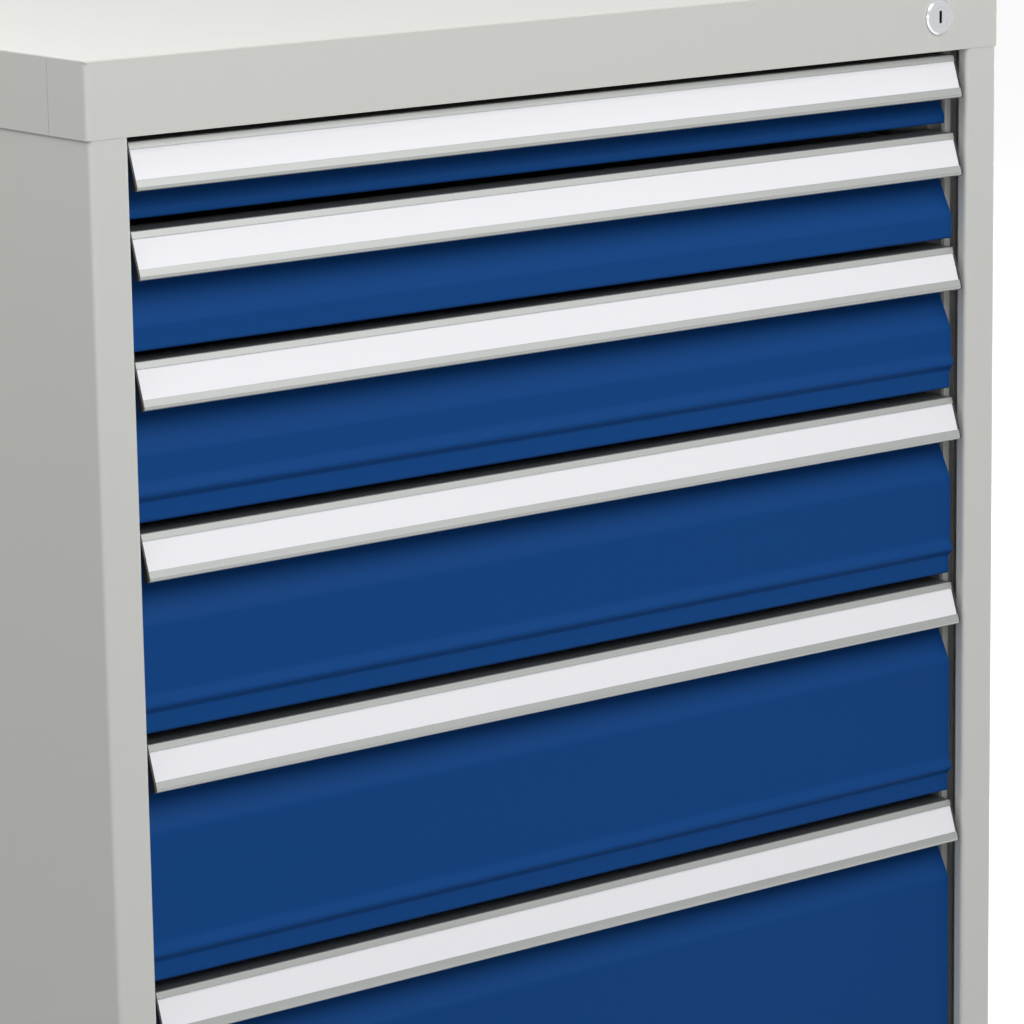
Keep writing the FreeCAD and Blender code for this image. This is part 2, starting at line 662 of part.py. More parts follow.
def drawer_tray(pitch):
    """Folded tray: floor and sides from one sheet, end walls and hemmed edges."""
    low, high = TRAY_FLOOR_GAP - pitch, -TRAY_TOP_GAP
    bend = INNER_BEND + TRAY_SHEET
    path = [
        (-TRAY_HALF - TRAY_HEM, high),
        (-TRAY_HALF, high),
        (-TRAY_HALF, low),
        (TRAY_HALF, low),
        (TRAY_HALF, high),
        (TRAY_HALF + TRAY_HEM, high),
    ]
    section = sheet_face(path, TRAY_SHEET, [INNER_BEND, bend, bend, INNER_BEND], front_on)
    section.translate(Vector(0, PAN_DEPTH, 0))
    trough = section.extrude(Vector(0, TRAY_END - PAN_DEPTH, 0))
    inside = TRAY_HALF - TRAY_SHEET / 2
    ends = [
        box(-inside, inside, y, y + TRAY_SHEET, low + TRAY_SHEET / 2, high)
        for y in (PAN_DEPTH, TRAY_END - TRAY_SHEET)
    ]
    rear_hem = box(-inside, inside, TRAY_END - TRAY_HEM, TRAY_END, high - TRAY_SHEET, high)
    return one_solid(trough.fuse(ends).fuse(rear_hem))


def handle_point(along, out):
    """A point of the handle's section: along its face from the top, and out from that face."""
    length = math.hypot(HANDLE_TOP_SETBACK + HANDLE_FOOT_PROUD, HANDLE_DROP)
    step = Vector(-(HANDLE_TOP_SETBACK + HANDLE_FOOT_PROUD) / length, -HANDLE_DROP / length, 0)
    normal = Vector(step.y, -step.x, 0)
    point = Vector(HANDLE_TOP_SETBACK, 0, 0) + step * along + normal * out
    return (point.x, point.y)


def handle_length():
    """Width of the handle's slanted face, from its top edge to its foot."""
    return math.hypot(HANDLE_TOP_SETBACK + HANDLE_FOOT_PROUD, HANDLE_DROP)


def handle_pin_place():
    """Middle of the bore in the handle's foot, in the side-on section."""
    return handle_point(handle_length() - FOOT_LIP / 2, -FOOT_DEPTH / 2)


def drawer_handle():
    """Extruded pull: a slanted face with a label pocket, a bored foot, a top flange and a fixing leg."""
    length = handle_length()
    pocket_top, pocket_foot = TOP_LIP, length - FOOT_LIP
    corners = [
        (0, 0, 0.4),
        (pocket_top, 0, 0),
        (pocket_top, -LIP_SHEET, 0),
        (pocket_top - POCKET_GROOVE, -LIP_SHEET, 0),
        (pocket_top - POCKET_GROOVE, -POCKET_DEPTH, 0),
        (pocket_foot + POCKET_GROOVE, -POCKET_DEPTH, 0),
        (pocket_foot + POCKET_GROOVE, -LIP_SHEET, 0),
        (pocket_foot, -LIP_SHEET, 0),
        (pocket_foot, 0, 0),
        (length, 0, FOOT_ROUND),
        (length, -FOOT_DEPTH, FOOT_ROUND),
        (pocket_foot, -FOOT_DEPTH, 0),
        (pocket_foot - (FOOT_DEPTH - HANDLE_PLATE), -HANDLE_PLATE, 0),
        (0, -HANDLE_PLATE, 0),
    ]
    section = rounded_face([handle_point(a, o) for a, o, _ in corners], [r for _, _, r in corners], side_on)
    half = FRONT_HALF - CAP_SHEET
    face = across_cabinet(section, half)
    flange = box(-half, half, HANDLE_TOP_SETBACK + HANDLE_PLATE / 3, HANDLE_FLANGE_END, -HANDLE_FLANGE, 0)
    foot, top = -HANDLE_FLANGE - HANDLE_LEG, -HANDLE_FLANGE / 2
    leg = box(-half, half, RECESS_SETBACK - LEG_SHEET, RECESS_SETBACK, foot, top)
    y, z = handle_pin_place()
    bore = rod(CAP_PIN_RADIUS + PIN_CLEARANCE, (-half - 1, y, z), (half + 1, y, z))
    return one_solid(face.fuse(flange).fuse(leg).cut(bore))


def handle_caps():
    """Thin moulded end caps with a pin that presses into the handle's foot."""
    length = handle_length()
    pocket_foot = length - FOOT_LIP
    corners = [
        (0, 0, 0.4),
        (length, 0, FOOT_ROUND),
        (length, -FOOT_DEPTH, FOOT_ROUND),
        (pocket_foot, -FOOT_DEPTH, 0),
        (pocket_foot - (FOOT_DEPTH - HANDLE_PLATE), -HANDLE_PLATE, 0),
        (0, -HANDLE_PLATE, 0),
    ]
    plate = rounded_face([handle_point(a, o) for a, o, _ in corners], [r for _, _, r in corners], side_on)
    cap = plate.extrude(Vector(CAP_SHEET, 0, 0))
    cap.translate(Vector(FRONT_HALF - CAP_SHEET, 0, 0))
    y, z = handle_pin_place()
    seat = FRONT_HALF - CAP_SHEET
    pin = rod(CAP_PIN_RADIUS, (seat - CAP_PIN_LENGTH, y, z), (seat + CAP_SHEET / 2, y, z))
    cap = one_solid(cap.fuse(pin))
    return [cap, mirrored(cap)]


def label_strip():
    """Card strip that slides into the handle's pocket under the two lips."""
    top = TOP_LIP - POCKET_GROOVE + LABEL_CLEARANCE
    foot = handle_length() - FOOT_LIP + POCKET_GROOVE - LABEL_CLEARANCE
    back = -POCKET_DEPTH
    corners = [(top, back), (foot, back), (foot, back + LABEL_THICKNESS), (top, back + LABEL_THICKNESS)]
    section = rounded_face([handle_point(a, o) for a, o in corners], [0] * 4, side_on)
    return across_cabinet(section, FRONT_HALF - CAP_SHEET - LABEL_CLEARANCE).Solids[0]


def drawer_rails():
    """Channel rails on the tray's sides, open towards the carriages, with a stop at the rear."""
    half = RAIL_HEIGHT / 2
    bend = INNER_BEND + RAIL_SHEET
    path = [(DRAWER_RAIL_TIP, -half), (TRAY_HALF, -half), (TRAY_HALF, half), (DRAWER_RAIL_TIP, half)]
    section = sheet_face(path, -RAIL_SHEET, [bend, bend], front_on)
    section.translate(Vector(0, PAN_DEPTH, 0))
    rail = section.extrude(Vector(0, TRAY_END - PAN_DEPTH, 0))
    root, tip = TRAY_HALF + RAIL_SHEET / 2, TRAY_HALF + STOP_REACH
    rail = one_solid(rail.fuse(stop_tongue(root, tip, TRAY_END - RAIL_SHEET, TRAY_END)))
    return [rail, mirrored(rail)]


# --- carriages -------------------------------------------------------------------------
def roller_spans():
    """Each axle's place along the bar, with the x where it leaves the bar and where it ends."""
    reach = ROLLER_END_GAP + ROLLER_WIDTH + ROLLER_END_GAP
    inner = [(y, CARRIAGE_INNER, CARRIAGE_INNER - reach) for y in INNER_ROLLERS]
    outer = [(y, CARRIAGE_OUTER, CARRIAGE_OUTER + reach) for y in OUTER_ROLLERS]
    return inner + outer


def carriage_bars():
    """Flat bars that travel half as far as the drawer, each with four riveted axles."""
    half = CARRIAGE_HEIGHT / 2
    bar = box(CARRIAGE_INNER, CARRIAGE_OUTER, CARRIAGE_START, CARRIAGE_END, -half, half)
    for y, root, tip in roller_spans():
        bar = bar.fuse(rod(AXLE_RADIUS, (root, y, 0), (tip, y, 0)))
    bar = one_solid(bar)
    return [bar, mirrored(bar)]


def carriage_rollers():
    """Rollers on the axles: the inner ones carry the drawer, the outer ones run in the case rails."""
    rollers = []
    for y, root, tip in roller_spans():
        away = math.copysign(1, tip - root)
        near, far = root + away * ROLLER_END_GAP, root + away * (ROLLER_END_GAP + ROLLER_WIDTH)
        wheel = rod(ROLLER_RADIUS, (near, y, 0), (far, y, 0))
        hole = rod(AXLE_RADIUS + AXLE_CLEARANCE, (near - away, y, 0), (far + away, y, 0))
        wheel = one_solid(wheel.cut(hole))
        rollers += [wheel, mirrored(wheel)]
    return rollers


# --- assembly --------------------------------------------------------------------------
def case_nodes():
    """The pieces that stay put, and the lock's two moving ones."""
    panel = side_panel()
    return {
        "side_panel_right": [panel],
        "side_panel_left": [mirrored(panel)],
        "back_panel": [back_panel()],
        "base_pan": [base_pan()],
        "top_fascia": [top_fascia()],
        "top_cover": [top_cover()],
        "runner_uprights": runner_uprights(),
        "case_rails": case_rails(),
        "back_rivets": rivets(),
        "lock_housing": [lock_housing()],
        "lock_plug": [lock_plug()],
        "lock_bar": [lock_bar()],
    }


def drawer_nodes():
    """The pieces of every drawer and of the pair of carriages that it rides on."""
    handle, label, caps = drawer_handle(), label_strip(), handle_caps()
    rails, bars, rollers = drawer_rails(), carriage_bars(), carriage_rollers()
    nodes = {}
    for number, (handle_top, pitch) in enumerate(drawer_slots(), 1):
        rail_z = rail_height(handle_top, pitch)
        nodes[f"drawer_{number}_front"] = [raised(drawer_front(pitch), handle_top)]
        nodes[f"drawer_{number}_tray"] = [raised(drawer_tray(pitch), handle_top)]
        nodes[f"drawer_{number}_handle"] = [raised(handle, handle_top)]
        nodes[f"drawer_{number}_label"] = [raised(label, handle_top)]
        nodes[f"drawer_{number}_handle_caps"] = [raised(s, handle_top) for s in caps]
        nodes[f"drawer_{number}_rails"] = [raised(s, rail_z) for s in rails]
        nodes[f"carriage_{number}_bars"] = [raised(s, rail_z) for s in bars]
        nodes[f"carriage_{number}_rollers"] = [raised(s, rail_z) for s in rollers]
    return nodes


def export_all():
    """Writes each node, with the middle of the whole outline moved onto the origin."""
    nodes = {**case_nodes(), **drawer_nodes()}
    outline = FreeCAD.BoundBox()
    for solids in nodes.values():
        for solid in solids:
            outline.add(solid.BoundBox)
    shift = Vector(0, -(outline.YMin + outline.YMax) / 2, 0)
    os.makedirs("parts", exist_ok=True)
    for name, solids in nodes.items():
        for solid in solids:
            solid.translate(shift)
        shape = solids[0] if len(solids) == 1 else Part.makeCompound(solids)
        shape.exportStep(os.path.join("parts", f"{name}.step"))
    size = f"{CASE_WIDTH:g} x {CASE_DEPTH:g} x {CASE_HEIGHT:g} mm"
    print(f"{len(nodes)} nodes, case {size}, moved {shift.y:.3f} mm in y")


export_all()
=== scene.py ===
"""Looks of a six-drawer steel cabinet: its finishes, small fasteners, studio and camera.

Lengths are in metres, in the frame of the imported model: x runs across the cabinet from its
middle plane, y from the front to the back and z up from the floor.
"""

import json
import logging
import math
from dataclasses import dataclass
from enum import Enum

import bmesh
import bpy
from mathutils import Matrix, Vector


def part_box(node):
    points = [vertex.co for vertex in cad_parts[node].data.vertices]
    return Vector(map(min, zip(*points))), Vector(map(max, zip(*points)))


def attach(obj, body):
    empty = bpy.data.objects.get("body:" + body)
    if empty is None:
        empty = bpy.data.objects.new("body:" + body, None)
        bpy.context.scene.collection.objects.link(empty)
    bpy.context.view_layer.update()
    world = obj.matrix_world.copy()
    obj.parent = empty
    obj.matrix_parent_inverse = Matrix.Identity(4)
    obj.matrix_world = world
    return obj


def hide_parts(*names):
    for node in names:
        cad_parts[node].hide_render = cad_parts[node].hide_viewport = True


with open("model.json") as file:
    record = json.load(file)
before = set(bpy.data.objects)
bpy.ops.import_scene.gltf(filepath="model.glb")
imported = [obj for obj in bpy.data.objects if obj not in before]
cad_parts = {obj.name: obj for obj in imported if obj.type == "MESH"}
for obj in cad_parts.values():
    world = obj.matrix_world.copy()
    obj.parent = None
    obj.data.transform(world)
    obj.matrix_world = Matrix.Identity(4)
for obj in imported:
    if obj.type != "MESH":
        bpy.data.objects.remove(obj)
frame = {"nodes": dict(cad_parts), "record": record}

LOG = logging.getLogger("cabinet")
DRAWERS = range(1, 7)
MM = 0.001
TRAY_SHEET = 1.2 * MM
SLOT_PITCH = 25 * MM
SLOT_END_MARGIN = 30 * MM
SAME_PLACE = 0.001 * MM
NOISE_MEAN = 0.5

Colour = tuple[float, float, float]
Point = tuple[float, float, float]
Sockets = bpy.types.bpy_prop_collection

WHITE: Colour = (1.0, 1.0, 1.0)


def screen(red: int, green: int, blue: int) -> Colour:
    """Turns a colour as a screen shows it into the linear one that shaders take.

    Args:
        red: Red, from 0 to 255.
        green: Green, from 0 to 255.
        blue: Blue, from 0 to 255.

    Returns:
        The linear colour, each channel from 0 to 1.
    """
    def linear(value: int) -> float:
        """Undoes the sRGB curve for one channel."""
        share = value / 255
        return share / 12.92 if share <= 0.04045 else ((share + 0.055) / 1.055) ** 2.4

    return linear(red), linear(green), linear(blue)


# --- node trees ------------------------------------------------------------------------
class Graph:
    """Writes nodes and links into one node tree."""

    def __init__(self, tree: bpy.types.NodeTree) -> None:
        """Keeps the tree that the other methods write into."""
        self.tree = tree

    def node(self, kind: str, **settings: object) -> bpy.types.Node:
        """Adds a node.

        Args:
            kind: Blender's name of the node type.
            **settings: Properties of the node and their values.

        Returns:
            The new node.
        """
        made = self.tree.nodes.new(kind)
        for name, value in settings.items():
            setattr(made, name, value)
        return made

    def feed(self, target: bpy.types.NodeSocket, source: object) -> None:
        """Links a socket to a target, or sets the target to a plain value.

        Args:
            target: The input that takes it.
            source: A socket or a value, which for a colour has three channels.
        """
        if isinstance(source, bpy.types.NodeSocket):
            self.tree.links.new(source, target)
        elif target.type == "RGBA":
            target.default_value = (*source, 1.0)
        else:
            target.default_value = source

    def feed_named(self, inputs: Sockets, values: dict[str, object]) -> None:
        """Feeds inputs by their names.

        Args:
            inputs: The inputs.
            values: A socket or a value for each name, with underscores for its spaces.
        """
        for name, value in values.items():
            self.feed(inputs[name.replace("_", " ")], value)

    def maths(self, operation: str, *values: object) -> bpy.types.NodeSocket:
        """Works one operation out.

        Args:
            operation: Blender's name of the operation.
            *values: Sockets or numbers, in order.

        Returns:
            The socket that holds the result.
        """
        made = self.node("ShaderNodeMath", operation=operation)
        for target, value in zip(made.inputs, values):
            self.feed(target, value)
        return made.outputs[0]

    def vector(self, operation: str, *values: object) -> bpy.types.NodeSocket:
        """Works one operation on vectors out.

        Args:
            operation: Blender's name of the operation.
            *values: Sockets or vectors, in order.

        Returns:
            The socket that holds the result.
        """
        made = self.node("ShaderNodeVectorMath", operation=operation)
        for target, value in zip(made.inputs, values):
            self.feed(target, value)
        return made.outputs[0]

    def noise(
        self, place: bpy.types.NodeSocket, scale: object, detail: float = 2.0
    ) -> bpy.types.NodeSocket:
        """Adds a noise, which swings about NOISE_MEAN.

        Args:
            place: Where the noise is read.
            scale: Cells in a metre, as a socket or a number.
            detail: Octaves of finer noise.

        Returns:
            The socket of the noise's height.
        """
        made = self.node("ShaderNodeTexNoise")
        self.feed(made.inputs["Vector"], place)
        self.feed(made.inputs["Scale"], scale)
        made.inputs["Detail"].default_value = detail
        return made.outputs["Fac"]

    def swing(self, noise: bpy.types.NodeSocket, amount: object) -> bpy.types.NodeSocket:
        """Turns a noise into a change to either side of zero.

        Args:
            noise: The noise's socket.
            amount: What the noise is multiplied by, as a socket or a number.

        Returns:
            The socket of the change.
        """
        return self.maths("MULTIPLY", self.maths("SUBTRACT", noise, NOISE_MEAN), amount)

    def mixed(self, share: object, first: object, second: object) -> bpy.types.NodeSocket:
        """Mixes two colours.

        Args:
            share: The second colour's share, from 0 to 1.
            first: The first colour, or its socket.
            second: The second colour, or its socket.

        Returns:
            The socket of the mixed colour.
        """
        made = self.node("ShaderNodeMix", data_type="RGBA")
        self.feed(made.inputs["Factor"], share)
        # The node keeps a pair of inputs for each type of data, all with the same two names.
        pair = (target for target in made.inputs if target.type == "RGBA")
        for target, colour in zip(pair, (first, second)):
            self.feed(target, colour)
        return next(given for given in made.outputs if given.type == "RGBA")

    def shaded(self, colour: object, gain: bpy.types.NodeSocket) -> bpy.types.NodeSocket:
        """Multiplies a colour by a number.

        Args:
            colour: The colour, or its socket.
            gain: The number's socket.

        Returns:
            The socket of the new colour.
        """
        made = self.node("ShaderNodeVectorMath", operation="SCALE")
        self.feed(made.inputs[0], colour)
        self.feed(made.inputs["Scale"], gain)
        return made.outputs[0]


class Effect(Enum):
    """Shader effects that several finishes share."""

    SPRAYED = "sprayed_skin"
    DRAWN = "drawn_lines"
    SETTLED = "settled_dust"


class Effects:
    """Builds each shared shader effect once, as a node group with named inputs and outputs.

    Attributes:
        PAINT_CLOUDS: Drifts of tone in a metre of paint.
        STREAK_STRETCH: How many broad streaks stand for one fine line.
        POLISH_CLOUDS: Drifts of polish in a metre of metal.
        DUST_PATCHES: Patches of dust in a metre.
        DUST_FALLOFF: Power of the upward share of a face's normal, by which dust thins out.
    """

    PAINT_CLOUDS = 2.3
    STREAK_STRETCH = 0.13
    POLISH_CLOUDS = 9.0
    DUST_PATCHES = 14.0
    DUST_FALLOFF = 4.0

    def __init__(self) -> None:
        """Starts with no group built."""
        self.built: dict[Effect, bpy.types.NodeTree] = {}

    def group(self, effect: Effect) -> bpy.types.NodeTree:
        """Gives an effect's node group, built at its first use.

        Args:
            effect: The effect.

        Returns:
            The group.
        """
        if effect not in self.built:
            writers = {
                Effect.SPRAYED: self.sprayed,
                Effect.DRAWN: self.drawn,
                Effect.SETTLED: self.settled,
            }
            self.built[effect] = writers[effect]()
        return self.built[effect]

    @staticmethod
    def empty(
        effect: Effect, inputs: dict[str, str], outputs: dict[str, str]
    ) -> tuple[Graph, Sockets, Sockets]:
        """Starts a group.

        Args:
            effect: The effect that the group is named for.
            inputs: Socket type of each input, by its name.
            outputs: Socket type of each output, by its name.

        Returns:
            The graph, the input node's sockets and the output node's sockets.
        """
        tree = bpy.data.node_groups.new(effect.value, "ShaderNodeTree")
        for name, kind in inputs.items():
            tree.interface.new_socket(name=name, in_out="INPUT", socket_type=kind)
        for name, kind in outputs.items():
            tree.interface.new_socket(name=name, in_out="OUTPUT", socket_type=kind)
        graph = Graph(tree)
        taken = graph.node("NodeGroupInput").outputs
        given = graph.node("NodeGroupOutput").inputs
        return graph, taken, given

    def sprayed(self) -> bpy.types.NodeTree:
        """Baked spray paint: slow drifts of tone, an orange peel and a fine grain.

        Returns:
            The group, whose height is in metres.
        """
        graph, taken, given = self.empty(
            Effect.SPRAYED,
            {
                "Colour": "NodeSocketColor",
                "Drift": "NodeSocketFloat",
                "Peel Size": "NodeSocketFloat",
                "Peel Height": "NodeSocketFloat",
                "Grain Size": "NodeSocketFloat",
                "Grain Height": "NodeSocketFloat",
            },
            {"Colour": "NodeSocketColor", "Height": "NodeSocketFloat"},
        )
        place = graph.node("ShaderNodeTexCoord").outputs["Object"]
        cloud = graph.noise(place, self.PAINT_CLOUDS, detail=3.0)
        peel = graph.noise(place, graph.maths("DIVIDE", 1.0, taken["Peel Size"]), detail=1.0)
        grain = graph.noise(place, graph.maths("DIVIDE", 1.0, taken["Grain Size"]), detail=1.0)
        drift = graph.swing(cloud, taken["Drift"])
        speck = graph.swing(grain, taken["Drift"])
        gain = graph.maths("ADD", 1.0, graph.maths("ADD", drift, speck))
        graph.feed(given["Colour"], graph.shaded(taken["Colour"], gain))
        high = graph.maths("MULTIPLY", peel, taken["Peel Height"])
        fine = graph.maths("MULTIPLY", grain, taken["Grain Height"])
        graph.feed(given["Height"], graph.maths("ADD", high, fine))
        return graph.tree

    def drawn(self) -> bpy.types.NodeTree:
        """Fine lines that a die, a roll or a lathe leaves, with slow streaks among them.

        Returns:
            The group, whose height is in metres.
        """
        graph, taken, given = self.empty(
            Effect.DRAWN,
            {
                "Colour": "NodeSocketColor",
                "Stretch": "NodeSocketVector",
                "Streak": "NodeSocketFloat",
                "Depth": "NodeSocketFloat",
                "Roughness": "NodeSocketFloat",
                "Spread": "NodeSocketFloat",
            },
            {
                "Colour": "NodeSocketColor",
                "Roughness": "NodeSocketFloat",
                "Height": "NodeSocketFloat",
            },
        )
        place = graph.node("ShaderNodeTexCoord").outputs["Object"]
        lined = graph.vector("MULTIPLY", place, taken["Stretch"])
        fine = graph.noise(lined, 1.0, detail=3.0)
        broad = graph.noise(lined, self.STREAK_STRETCH, detail=1.0)
        cloud = graph.noise(place, self.POLISH_CLOUDS, detail=2.0)
        gain = graph.maths("ADD", 1.0, graph.swing(broad, taken["Streak"]))
        graph.feed(given["Colour"], graph.shaded(taken["Colour"], gain))
        rough = graph.swing(cloud, taken["Spread"])
        graph.feed(given["Roughness"], graph.maths("ADD", taken["Roughness"], rough))
        graph.feed(given["Height"], graph.maths("MULTIPLY", fine, taken["Depth"]))
        return graph.tree

    def settled(self) -> bpy.types.NodeTree:
        """A thin film of dust on what faces up.

        Returns:
            The group.
        """
        graph, taken, given = self.empty(
            Effect.SETTLED,
            {
                "Colour": "NodeSocketColor",
                "Dust": "NodeSocketColor",
                "Amount": "NodeSocketFloat",
                "Roughness": "NodeSocketFloat",
            },
            {"Colour": "NodeSocketColor", "Roughness": "NodeSocketFloat"},
        )
        place = graph.node("ShaderNodeTexCoord").outputs["Object"]
        normal = graph.node("ShaderNodeNewGeometry").outputs["Normal"]
        split = graph.node("ShaderNodeSeparateXYZ")
        graph.feed(split.inputs[0], normal)
        upward = graph.maths("MAXIMUM", split.outputs["Z"], 0.0)
        level = graph.maths("POWER", upward, self.DUST_FALLOFF)
        patch = graph.noise(place, self.DUST_PATCHES, detail=4.0)
        share = graph.maths("MULTIPLY", graph.maths("MULTIPLY", level, patch), taken["Amount"])
        graph.feed(given["Colour"], graph.mixed(share, taken["Colour"], taken["Dust"]))
        graph.feed(given["Roughness"], graph.maths("ADD", taken["Roughness"], share))
        return graph.tree


# --- finishes --------------------------------------------------------------------------
class Surface:
    """A new material: its shader, and the effects that feed it."""

    def __init__(self, name: str, effects: Effects) -> None:
        """Starts a material that holds one shader.

        Args:
            name: The material's name.
            effects: The shared effects.
        """
        self.material = bpy.data.materials.new(name)
        self.material.use_nodes = True
        self.graph = Graph(self.material.node_tree)
        self.shader = next(n for n in self.graph.tree.nodes if n.type == "BSDF_PRINCIPLED")
        self.effects = effects

    def effect(self, kind: Effect, **values: object) -> Sockets:
        """Places a shared effect.

        Args:
            kind: The effect.
            **values: A socket or value for each input, its spaces written as underscores.

        Returns:
            The effect's outputs.
        """
        made = self.graph.node("ShaderNodeGroup", node_tree=self.effects.group(kind))
        self.graph.feed_named(made.inputs, values)
        return made.outputs

    def set(self, **values: object) -> None:
        """Feeds the shader's inputs, each named with underscores for spaces."""
        self.graph.feed_named(self.shader.inputs, values)

    def bump(self, height: bpy.types.NodeSocket) -> None:
        """Tilts the shader's normal.

        Args:
            height: The surface's height in metres.
        """
        bump = self.graph.node("ShaderNodeBump")
        bump.inputs["Strength"].default_value = 1.0
        bump.inputs["Distance"].default_value = 1.0
        self.graph.feed(bump.inputs["Height"], height)
        self.graph.feed(self.shader.inputs["Normal"], bump.outputs["Normal"])


@dataclass(frozen=True)
class PowderCoat:
    """Paint that was sprayed as powder and baked: it dries in a peel."""

    colour: Colour
    roughness: float
    shine: float = 0.3
    drift: float = 0.03
    peel_size: float = 1.6 * MM
    peel_height: float = 0.010 * MM
    grain_size: float = 0.45 * MM
    grain_height: float = 0.002 * MM
    dust: float = 0.10
    dust_colour: Colour = screen(206, 203, 196)

    def material(self, name: str, effects: Effects) -> bpy.types.Material:
        """Makes the material.

        Args:
            name: The material's name.
            effects: The shared effects.

        Returns:
            The material.
        """
        surface = Surface(name, effects)
        skin = surface.effect(
            Effect.SPRAYED,
            Colour=self.colour,
            Drift=self.drift,
            Peel_Size=self.peel_size,
            Peel_Height=self.peel_height,
            Grain_Size=self.grain_size,
            Grain_Height=self.grain_height,
        )
        top = surface.effect(
            Effect.SETTLED,
            Colour=skin["Colour"],
            Dust=self.dust_colour,
            Amount=self.dust,
            Roughness=self.roughness,
        )
        surface.set(
            Base_Color=top["Colour"], Roughness=top["Roughness"], Specular_IOR_Level=self.shine
        )
        surface.bump(skin["Height"])
        return surface.material


@dataclass(frozen=True)
class DrawnMetal:
    """Bare or thinly plated metal with the lines of the tool that shaped it."""

    colour: Colour
    roughness: float
    stretch: Point
    streak: float = 0.10
    depth: float = 0.0006 * MM
    spread: float = 0.08
    metallic: float = 1.0

    def material(self, name: str, effects: Effects) -> bpy.types.Material:
        """Makes the material.

        Args:
            name: The material's name.
            effects: The shared effects.

        Returns:
            The material.
        """
        surface = Surface(name, effects)
        lines = surface.effect(
            Effect.DRAWN,
            Colour=self.colour,
            Stretch=self.stretch,
            Streak=self.streak,
            Depth=self.depth,
            Roughness=self.roughness,
            Spread=self.spread,
        )
        surface.set(
            Base_Color=lines["Colour"], Roughness=lines["Roughness"], Metallic=self.metallic
        )
        surface.bump(lines["Height"])
        return surface.material


@dataclass(frozen=True)
class FilmedCard:
    """White card under a clear film: faint fibres in the card, a gloss over them."""

    colour: Colour
    roughness: float = 0.55
    film: float = 0.35
    film_roughness: float = 0.16
    drift: float = 0.012
    wave_size: float = 4.8 * MM
    fibre_size: float = 0.8 * MM
    fibre_height: float = 0.0015 * MM

    def material(self, name: str, effects: Effects) -> bpy.types.Material:
        """Makes the material.

        Args:
            name: The material's name.
            effects: The shared effects.

        Returns:
            The material.
        """
        surface = Surface(name, effects)
        skin = surface.effect(
            Effect.SPRAYED,
            Colour=self.colour,
            Drift=self.drift,
            Peel_Size=self.wave_size,
            Peel_Height=self.fibre_height,
            Grain_Size=self.fibre_size,
            Grain_Height=self.fibre_height,
        )
        surface.set(
            Base_Color=skin["Colour"],
            Roughness=self.roughness,
            Coat_Weight=self.film,
            Coat_Roughness=self.film_roughness,
        )
        surface.bump(skin["Height"])
        return surface.material


@dataclass(frozen=True)
class MouldedPlastic:
    """Moulded plastic with a spark-eroded grain."""

    colour: Colour
    roughness: float = 0.5
    drift: float = 0.15
    wave_size: float = 1.75 * MM
    wave_height: float = 0.003 * MM
    grain_size: float = 0.35 * MM
    grain_height: float = 0.006 * MM

    def material(self, name: str, effects: Effects) -> bpy.types.Material:
        """Makes the material.

        Args:
            name: The material's name.
            effects: The shared effects.

        Returns:
            The material.
        """
        surface = Surface(name, effects)
        skin = surface.effect(
            Effect.SPRAYED,
            Colour=self.colour,
            Drift=self.drift,
            Peel_Size=self.wave_size,
            Peel_Height=self.wave_height,
            Grain_Size=self.grain_size,
            Grain_Height=self.grain_height,
        )
        surface.set(Base_Color=skin["Colour"], Roughness=self.roughness)
        surface.bump(skin["Height"])
        return surface.material


# Tool lines in a metre along x, y and z: few along the way that the lines run.
ALONG_X = (6.0, 2600.0, 2600.0)
ALONG_Y = (2600.0, 6.0, 2600.0)
AROUND_X = (4200.0, 14.0, 14.0)
AROUND_Y = (300.0, 900.0, 300.0)

FINISHES = {
    "case_paint": PowderCoat(screen(208, 209, 204), 0.38, shine=0.26, dust=0.08),
    "front_paint": PowderCoat(screen(21, 70, 133), 0.46, shine=0.04, drift=0.05, dust=0.0),
    "tray_paint": PowderCoat(screen(196, 198, 194), 0.45, dust=0.10),
    "handle_alloy": DrawnMetal(screen(148, 150, 148), 0.38, ALONG_X, metallic=0.9),
    "label_card": FilmedCard(screen(236, 236, 241), film=0.15),
    "cap_plastic": MouldedPlastic(screen(30, 31, 33)),
    "zinc_steel": DrawnMetal(screen(176, 179, 183), 0.36, ALONG_Y, streak=0.16, spread=0.18),
    "roller_steel": DrawnMetal(screen(158, 160, 164), 0.28, AROUND_X, streak=0.12),
    "lock_chrome": DrawnMetal(screen(206, 207, 211), 0.18, AROUND_Y, streak=0.04, spread=0.05),
}


# --- fastener heads --------------------------------------------------------------------
class HeadStyle(Enum):
    """What the middle of a fastener's head holds."""

    PLAIN = 0
    SOCKET = 1
    CROSS = 2


